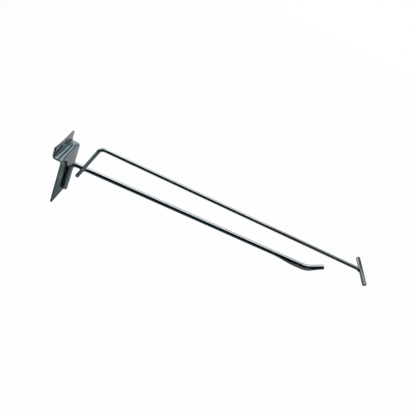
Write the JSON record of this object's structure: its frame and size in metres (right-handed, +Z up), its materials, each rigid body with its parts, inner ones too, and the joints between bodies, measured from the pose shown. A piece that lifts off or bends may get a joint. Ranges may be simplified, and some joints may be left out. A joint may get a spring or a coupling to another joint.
{
  "type": "display hook",
  "caption": "Plated steel display hook for slotted wall panels: a folded plate with a tongue, a prong with an upturned tip for hanging goods, and an overarm with a ticket bar.",
  "frame": {"origin": "middle of the plate's flat rear face, where it lies on the panel", "axes": "+Z up as it hangs, +Y into the wall, the arms run along -Y, +X to the right seen from the front"},
  "size_m": [0.0518, 0.345, 0.0758],
  "materials": {
    "plate_zinc": "zinc plated sheet steel, satin",
    "prong_zinc": "bright zinc plated wire",
    "overarm_zinc": "bright zinc plated wire",
    "bar_zinc": "bright zinc plated wire"
  },
  "bodies": {
    "root": {"back_plate": "plate_zinc", "prong": "prong_zinc", "overarm": "overarm_zinc", "ticket_bar": "bar_zinc"}
  },
  "joints": []
}
